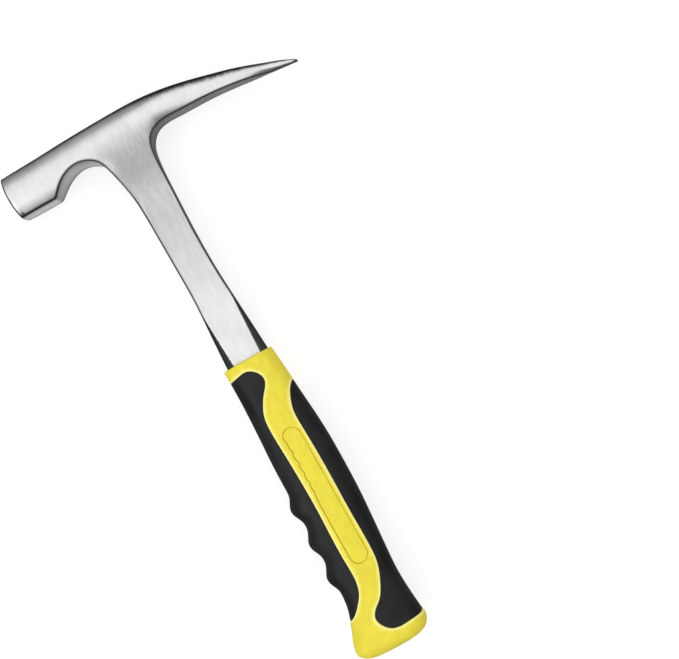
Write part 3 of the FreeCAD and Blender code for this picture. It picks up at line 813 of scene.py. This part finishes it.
class Grip:
    """The grip's skin, triangulated once and shared by its three pieces."""

    def __init__(self):
        self.finger = finger_panel_curve()
        self.palm = palm_panel_curve()
        self.pad = pad_curve()
        sheet = Sheet()
        for line, closed, offsets in ((self.finger, False, PANEL_ROWS), (self.palm, False, PANEL_ROWS),
                                      (self.pad, True, PAD_ROWS)):
            normals = side_normals(line, closed)
            if not closed:
                normals[[0, -1]] = np.sign(normals[[0, -1]]) * (0, 1)
            for offset in offsets:
                sheet.add_line(line + normals * offset, closed)
        for depth in COLLAR_ROWS + [GRIP_LENGTH - gap for gap in BUTT_ROWS]:
            sheet.add_line(straight((0, depth), (SKIN_WIDTH, depth), SKIN_SPACING))
        for girth in (0.0, 0.2, 0.5, SKIN_WIDTH - 0.5, SKIN_WIDTH - 0.2, SKIN_WIDTH):
            sheet.add_line(straight((girth, 0), (girth, GRIP_LENGTH), SKIN_SPACING))
        candidates = grid((0.3, 0.3), (SKIN_WIDTH, GRIP_LENGTH), SKIN_SPACING)
        sheet.fill(candidates, 0.7 * SKIN_SPACING)
        self.skin, self.triangles, _ = sheet.triangles()
        centres = self.skin[self.triangles].mean(1)
        self.in_finger = inside(centres, self.finger)
        self.in_palm = inside(centres, self.palm)
        # The groove mark paints shade along the panels' edges.
        edge = np.minimum(distance_to(self.skin, self.finger, False),
                          distance_to(self.skin, self.palm, False))
        pad_edge = distance_to(self.skin, self.pad, True) * np.where(inside(self.skin, self.pad), 1, -1)
        self.relief = self.skin_relief(edge, pad_edge)
        towards_finger = smooth_step((self.skin[:, 0] - self.pad[:, 0].mean()) / 3.0)
        # Painted shade in the fine groove round the pad, darker on its finger side.
        pad_line = np.exp(-((pad_edge + PAD_LINE) / 0.3) ** 2) * (0.3 + 0.7 * towards_finger)
        # The lip mark paints a highlight on the yellow edge beside the black panels.
        self.marks = {"lip": np.exp(-((edge - LIP_ROUND) / 0.4) ** 2),
                      "groove": np.exp(-(edge / 0.25) ** 2), "pad_line": pad_line}

    def skin_relief(self, edge, pad_edge):
        """How far each skin point lies inside the grip's plain outer form."""
        skin = self.skin
        in_panel = inside(skin, self.finger) | inside(skin, self.palm)
        panel = PANEL_SINK + (GROOVE_DEPTH - PANEL_SINK) * roll_off(edge / 0.4)
        relief = np.where(in_panel, panel, GROOVE_DEPTH * roll_off(edge / LIP_ROUND))
        relief -= PAD_RELIEF * smooth_step((pad_edge + 0.1) / 0.45)
        relief += PAD_GROOVE * np.exp(-((pad_edge + PAD_LINE) / PAD_LINE) ** 2)
        relief += COLLAR_ROUND * roll_off(skin[:, 1] / COLLAR_ROUND)
        seam = np.minimum(skin[:, 0], SKIN_WIDTH - skin[:, 0])
        return relief - SEAM_FLASH * np.exp(-(seam / 0.22) ** 2)

    def shell(self, solid, chosen, inset, outwards=True):
        """Adds the chosen triangles of both halves at this inset and returns both halves' vertices."""
        points = grip_points(self.skin, inset)
        upper = solid.add(points, **self.marks)
        lower = solid.add(points * (1, 1, -1), **self.marks)
        for triangle in self.triangles[chosen]:
            solid.faces.append(tuple(upper[triangle]))
            solid.faces.append(tuple(lower[triangle[::-1]]))
        return upper, lower

    def border(self, chosen):
        """Edges of the chosen triangles that lie inside the skin and belong to only one of them."""
        edges = {}
        for a, b, c in self.triangles[chosen]:
            for edge in ((a, b), (b, c), (c, a)):
                key = (min(edge), max(edge))
                edges[key] = edges.get(key, 0) + 1
        girth = self.skin[:, 0]
        found = []
        for (a, b), count in edges.items():
            on_seam = any(max(abs(girth[a] - s), abs(girth[b] - s)) < NEAR for s in (0.0, SKIN_WIDTH))
            if count == 1 and not on_seam:
                found.append((a, b))
        return found

    def skirt(self, solid, chosen, outer, inner):
        """Joins the border of two shells of the same chosen triangles."""
        for a, b in self.border(chosen):
            for top, bottom in zip(outer, inner):
                solid.faces.append((top[a], top[b], bottom[b], bottom[a]))

    def make_panel(self, chosen, name, node, material):
        solid = Solid()
        outer = self.shell(solid, chosen, self.relief)
        inner = self.shell(solid, chosen, PANEL_DEPTH)
        self.skirt(solid, chosen, outer, inner)
        solid.make(name, node, material, 50.0)

    def make_body(self, material):
        solid = Solid()
        panels = self.in_finger | self.in_palm
        outer = self.shell(solid, ~panels, self.relief)
        floor = self.shell(solid, panels, PANEL_DEPTH + PANEL_CLEARANCE)
        self.skirt(solid, panels, outer, floor)
        self.close_collar(solid, outer)
        self.close_butt(solid, outer)
        solid.make("grip_body_moulded", "grip_body", material, 50.0)

    def end_ring(self, outer, depth):
        """The skin's vertices at one end, all the way round, with their angles."""
        row = np.where(np.abs(self.skin[:, 1] - depth) < NEAR)[0]
        row = row[np.argsort(self.skin[row, 0])]
        back = row[-2:0:-1]
        angles = self.skin[row, 0] / GIRTH_SCALE
        around = np.concatenate([angles, -self.skin[back, 0] / GIRTH_SCALE])
        return np.concatenate([outer[0][row], outer[1][back]]), around

    def close_collar(self, solid, outer):
        """Collar's end face, its lip round the shank, and the pocket that holds shank and tang."""
        ring, angles = self.end_ring(outer, 0.0)
        outside = np.array([solid.vertices[i] for i in ring])
        c = np.abs(np.cos(angles)) + 1e-9
        s = np.abs(np.sin(angles)) + 1e-9
        bevel_width = COLLAR_STEEL - COLLAR_FLAT / 2
        corner = BEVEL_DEPTH * COLLAR_STEEL + bevel_width * (FLAT_HALF - BEVEL_DEPTH)
        bevel = corner / (BEVEL_DEPTH * c + bevel_width * s)
        socket = np.minimum(np.minimum(COLLAR_STEEL / c, FLAT_HALF / s), bevel)
        half = TANG_WIDTH / 2
        rows = [(0.0, SOCKET_LIP, socket), (0.12, 0.12, socket)]
        rows += [(SOCKET_LIP, 0.0, socket), (SOCKET_DEPTH, 0.0, socket)]
        for depth in (SOCKET_DEPTH, TANG_END - half):
            rows.append((depth, 0.0, np.minimum(half / c, TANG_HALF / s)))
        for share in (0.4, 0.7, 0.9, 0.99):
            width = half * math.sqrt(1 - share ** 2)
            rows.append((TANG_END - half + half * share, 0.0, np.minimum(width / c, TANG_HALF / s)))
        between = outside.copy()
        direction = np.column_stack([np.cos(angles), np.sin(angles)])
        lip = direction * (socket + SOCKET_LIP)[:, None]
        for share in (0.35, 0.7):
            between[:, 0] = outside[:, 0] * (1 - share) + lip[:, 0] * share
            between[:, 2] = outside[:, 2] * (1 - share) + lip[:, 1] * share
            ring = solid.extend(ring, between)
        for depth, growth, radius in rows:
            flat = direction * (radius + growth)[:, None]
            level = np.full(len(flat), -depth)
            ring = solid.extend(ring, np.column_stack([flat[:, 0], level, flat[:, 1]]))
        solid.faces.append(tuple(ring))

    def close_butt(self, solid, outer):
        ring, _ = self.end_ring(outer, GRIP_LENGTH)
        outside = np.array([solid.vertices[i] for i in ring])
        centre = outside.mean(0)
        for share in (0.75, 0.5, 0.25):
            ring = solid.extend(ring, centre + (outside - centre) * share)
        solid.faces.append(tuple(ring))


# -------------------- materials
class Finish:
    """A Principled material and short calls that add nodes to it."""

    def __init__(self, name, roughness, specular, metallic=0.0):
        self.material = bpy.data.materials.new(name)
        self.material.use_nodes = True
        self.tree = self.material.node_tree
        self.shader = self.tree.nodes["Principled BSDF"]
        self.set("Roughness", roughness)
        self.set("Specular IOR Level", specular)
        self.set("Metallic", metallic)
        self.place = self.node("ShaderNodeTexCoord").outputs["Object"]

    def node(self, kind, **settings):
        node = self.tree.nodes.new(kind)
        for name, value in settings.items():
            setattr(node, name, value)
        return node

    def feed(self, socket, value):
        if isinstance(value, bpy.types.NodeSocket):
            self.tree.links.new(value, socket)
        else:
            socket.default_value = value

    def set(self, name, value):
        self.feed(self.shader.inputs[name], value)

    def mark(self, name):
        return self.node("ShaderNodeAttribute", attribute_name=name).outputs["Fac"]

    def noise(self, size, stretch=(1.0, 1.0, 1.0), detail=3.0, offset=0.0):
        """Noise between about 0.3 and 0.7 whose features are `size` mm, longer where stretched."""
        mapping = self.node("ShaderNodeMapping")
        self.feed(mapping.inputs["Vector"], self.place)
        mapping.inputs["Location"].default_value = (offset, offset, offset)
        mapping.inputs["Scale"].default_value = [1 / (size * MM * k) for k in stretch]
        noise = self.node("ShaderNodeTexNoise")
        self.feed(noise.inputs["Vector"], mapping.outputs["Vector"])
        noise.inputs["Scale"].default_value = 1.0
        noise.inputs["Detail"].default_value = detail
        return noise.outputs["Fac"]

    def remap(self, value, low, high, first=0.0, last=1.0):
        """The value's stretch from low to high, spread smoothly from first to last."""
        node = self.node("ShaderNodeMapRange", interpolation_type="SMOOTHSTEP")
        for socket, number in zip(node.inputs, (value, low, high, first, last)):
            self.feed(socket, number)
        return node.outputs["Result"]

    def math(self, operation, first, second):
        node = self.node("ShaderNodeMath", operation=operation)
        self.feed(node.inputs[0], first)
        self.feed(node.inputs[1], second)
        return node.outputs["Value"]

    def times(self, first, second):
        return self.math("MULTIPLY", first, second)

    def plus(self, first, second):
        return self.math("ADD", first, second)

    def mix(self, factor, first, second):
        node = self.node("ShaderNodeMix", data_type="RGBA")
        self.feed(node.inputs["Factor"], factor)
        for socket, colour in ((node.inputs[6], first), (node.inputs[7], second)):
            self.feed(socket, (*colour, 1.0) if isinstance(colour, tuple) else colour)
        return node.outputs[2]

    def painted(self, colour, layers):
        """The colour under layers of (mark, strength, colour)."""
        for mark, strength, tint in layers:
            colour = self.mix(self.times(self.mark(mark), strength), colour, tint)
        return colour

    def bump(self, height, depth):
        """Bump of a height field from 0 to 1, `depth` mm from low to high."""
        node = self.node("ShaderNodeBump")
        node.inputs["Distance"].default_value = depth * MM
        self.feed(node.inputs["Height"], height)
        self.set("Normal", node.outputs["Normal"])


def forged_steel():
    """Ground and polished forging: grain along the shank, a dull web in painted shade, a painted dark
    reflection in strokes below the crest, and painted shade on the edges, bevels and walls.
    """
    finish = Finish("forged_steel", 0.3, 0.5, 1.0)
    grain = finish.noise(0.35, (1.0, 26.0, 2.0), 4.0)
    strokes = finish.noise(0.38, (1.0, 9.0, 3.0), 3.0, 3.0)
    clouds = finish.noise(9.0, (1.0, 2.4, 1.0), 3.0, 7.0)
    scratches = finish.noise(0.5, (1.0, 60.0, 3.0), 1.0, 11.0)
    polish = finish.mark("polish")
    dark_grey = (0.2, 0.2, 0.205)
    # The polish mark paints shade: where it is low, the dull web is painted dark grey.
    bright = finish.mix(polish, dark_grey, (0.72, 0.72, 0.72))
    streaked = finish.remap(grain, 0.32, 0.68, 0.0, 0.26)
    dull = finish.remap(polish, 0.5, 1.0, 1.0, 0.35)
    colour = finish.mix(finish.times(streaked, dull), bright, dark_grey)
    colour = finish.mix(finish.remap(clouds, 0.35, 0.7, 0.0, 0.13), colour, (0.3, 0.3, 0.3))
    colour = finish.mix(finish.remap(scratches, 0.66, 0.74, 0.0, 0.35), colour, (0.8, 0.8, 0.8))
    # Painted shade: a near-black dark reflection below the crest and grey shade above the poll's foot, with
    # ragged strokes at their edges.
    ragged_shade = finish.remap(strokes, 0.3, 0.72, -0.1, 0.12)
    crest = finish.remap(finish.plus(finish.mark("crest"), ragged_shade), 0.2, 0.9, 0.0, 0.97)
    foot = finish.remap(finish.plus(finish.mark("foot"), ragged_shade), 0.4, 1.3, 0.0, 0.5)
    colour = finish.mix(crest, colour, (0.025, 0.025, 0.027))
    colour = finish.mix(foot, colour, (0.15, 0.15, 0.155))
    # Painted shade: dark lines along the edges, dark bevels and greyer side walls.
    colour = finish.painted(colour, (
        ("edge", 0.92, (0.03, 0.03, 0.03)), ("bevel", 0.85, (0.06, 0.06, 0.062)),
        ("side", 0.35, (0.2, 0.2, 0.2))))
    finish.set("Base Color", colour)
    rough = finish.plus(finish.remap(grain, 0.3, 0.7, 0.26, 0.4), finish.times(dull, 0.08))
    finish.set("Roughness", finish.plus(rough, finish.times(crest, 0.12)))
    finish.bump(grain, 0.012)
    return finish.material


def yellow_moulding():
    """Matt yellow rubber: fine texture, faint mottling, a painted highlight on the lip along the black
    panels and painted shade in the grooves.
    """
    finish = Finish("yellow_moulding", 0.55, 0.25)
    texture = finish.noise(0.45, detail=2.0)
    mottle = finish.noise(4.5, (1.0, 1.6, 1.0), 4.0, 5.0)
    colour = finish.mix(finish.remap(mottle, 0.3, 0.7), (0.765, 0.645, 0.047), (0.815, 0.7, 0.054))
    specks = finish.remap(finish.noise(0.9, detail=3.0, offset=2.0), 0.62, 0.74, 0.0, 0.22)
    colour = finish.mix(specks, colour, (0.55, 0.44, 0.03))
    # Painted highlight on the lip; painted shade in the groove round the pad and along the panels.
    colour = finish.painted(colour, (
        ("lip", 0.9, (1.0, 0.97, 0.4)), ("pad_line", 0.85, (0.3, 0.23, 0.015)),
        ("groove", 0.8, (0.12, 0.09, 0.01))))
    finish.set("Base Color", colour)
    finish.set("Roughness", finish.remap(mottle, 0.3, 0.7, 0.48, 0.66))
    finish.bump(texture, 0.05)
    return finish.material


def black_moulding():
    """Soft black rubber with a fine grain and slightly shinier, rubbed patches."""
    finish = Finish("black_moulding", 0.5, 0.2)
    texture = finish.noise(0.5, detail=2.5)
    rubbed = finish.noise(12.0, (1.0, 1.8, 1.0), 3.0, 4.0)
    colour = finish.mix(finish.remap(rubbed, 0.3, 0.7), (0.008, 0.008, 0.008), (0.016, 0.016, 0.0165))
    dust = finish.remap(finish.noise(0.8, detail=3.0, offset=9.0), 0.6, 0.75, 0.0, 0.3)
    colour = finish.mix(dust, colour, (0.035, 0.035, 0.036))
    finish.set("Base Color", colour)
    finish.set("Roughness", finish.remap(rubbed, 0.3, 0.7, 0.4, 0.56))
    finish.bump(texture, 0.06)
    return finish.material


def studio_white(name, shade, glow):
    """Pale stage surface with a little light of its own, so that shadows on it stay soft."""
    finish = Finish(name, 1.0, 0.0)
    lighter = 1.02 * shade
    colour = finish.mix(finish.noise(40.0), (shade, shade, shade), (lighter, lighter, lighter))
    finish.set("Base Color", colour)
    finish.set("Emission Color", (1.0, 1.0, 1.0, 1.0))
    finish.set("Emission Strength", glow)
    return finish.material


# -------------------- stage
MID_HEIGHT = float(ORIGIN[2])
VIEW_CENTRE = (35.1 * MM, 1.1 * MM)
VIEW_DISTANCE = 627.0 * MM
VIEW_TURN = -29.4
VIEW_WIDTH = 373.7 * MM
SENSOR_WIDTH = 36.0
CARD_LEVEL = -20 * MM
CARD_SPAN = (60.0, 141.0)   # mm along the handle's axis


def add_camera():
    data = bpy.data.cameras.new("camera")
    data.sensor_width = SENSOR_WIDTH
    data.lens = SENSOR_WIDTH * VIEW_DISTANCE / VIEW_WIDTH
    camera = add_object("camera", data)
    camera.location = (VIEW_CENTRE[0], VIEW_CENTRE[1], MID_HEIGHT + VIEW_DISTANCE)
    camera.rotation_euler = (0.0, 0.0, math.radians(VIEW_TURN))
    bpy.context.scene.camera = camera


def add_light(name, place, target, size, radiance):
    """Area light of a given brightness, so that its size can change by itself."""
    data = bpy.data.lights.new(name, "AREA")
    data.shape = "RECTANGLE"
    data.size, data.size_y = size
    data.energy = radiance * math.pi * size[0] * size[1]
    light = add_object(name, data)
    light.location = place
    light.rotation_euler = (Vector(target) - Vector(place)).to_track_quat("-Z", "Y").to_euler()
    return light


def add_stage_mesh(name, corners, faces, material, hidden_from):
    mesh = bpy.data.meshes.new(name)
    mesh.from_pydata(corners, [], faces)
    mesh.materials.append(material)
    stage = add_object(name, mesh)
    for ray in hidden_from:
        setattr(stage, "visible_" + ray, False)


def add_floor_and_backdrop():
    """Pale floor, and pale walls round it that only the camera sees; the steel mirrors neither."""
    half = 6.0
    level = -0.2 * MM
    ring = [(-half, -half), (half, -half), (half, half), (-half, half)]
    floor = [(x, y, level) for x, y in ring]
    add_stage_mesh("floor", floor, [(0, 1, 2, 3)], studio_white("floor", 0.3, 0.76), ("glossy",))
    walls = floor + [(x, y, half) for x, y in ring]
    sides = [(i, (i + 1) % 4, (i + 1) % 4 + 4, i + 4) for i in range(4)]
    pale = studio_white("backdrop", 0.1, 0.82)
    add_stage_mesh("backdrop", walls, sides, pale, ("glossy", "diffuse", "shadow"))


def add_card(name, left, right, glow):
    """Bright card under the head: only the polish of walls that look down at it mirrors it."""
    finish = Finish(name, 0.5, 0.5)
    finish.set("Base Color", (0.0, 0.0, 0.0, 1.0))
    finish.set("Emission Color", (1.0, 1.0, 1.0, 1.0))
    finish.set("Emission Strength", glow)
    finish.material.cycles.emission_sampling = "NONE"
    near, far = CARD_SPAN
    corners = [(left, near), (right, near), (right, far), (left, far)]
    corners = [(x * MM + ORIGIN[0], y * MM + ORIGIN[1], CARD_LEVEL) for x, y in corners]
    add_stage_mesh(name, corners, [(0, 1, 2, 3)], finish.material, ("camera", "diffuse", "shadow"))


def light_studio():
    world = bpy.data.worlds.new("studio")
    bpy.context.scene.world = world
    world.use_nodes = True
    world.node_tree.nodes["Background"].inputs["Color"].default_value = (0.2, 0.2, 0.2, 1)
    add_light("overhead", (0.0, 0.42, 1.0), (0.0, 0.42, 0.0), (2.4, 1.64), 1.07)
    add_light("finger_side", (-0.72, -0.3, 0.8), (0.0, -0.1, 0.0), (0.5, 0.5), 3.5)
    add_light("palm_side", (0.8, -0.6, 0.7), (0.0, -0.1, 0.0), (0.4, 0.4), 0.9)
    fill = add_light("fill", (0.0, -0.4, 1.1), (0, -0.4, 0), (3.0, 2.4), 0.32)
    fill.visible_glossy = False
    bpy.context.scene.view_settings.view_transform = "Standard"


add_camera()
add_floor_and_backdrop()
light_studio()
for card, left, right, glow in (("poll_card", -78.0, -48.0, 0.85), ("notch_card", -48.0, -33.0, 0.42),
                                ("heel_card", -33.0, -18.0, 0.8), ("pick_card", 25.0, 106.0, 0.3)):
    add_card(card, left, right, glow)

make_forging(forged_steel())
grip = Grip()
grip.make_body(yellow_moulding())
black = black_moulding()
grip.make_panel(grip.in_finger, "finger_panel_moulded", "finger_grip_panel", black)
grip.make_panel(grip.in_palm, "palm_panel_moulded", "palm_grip_panel", black)
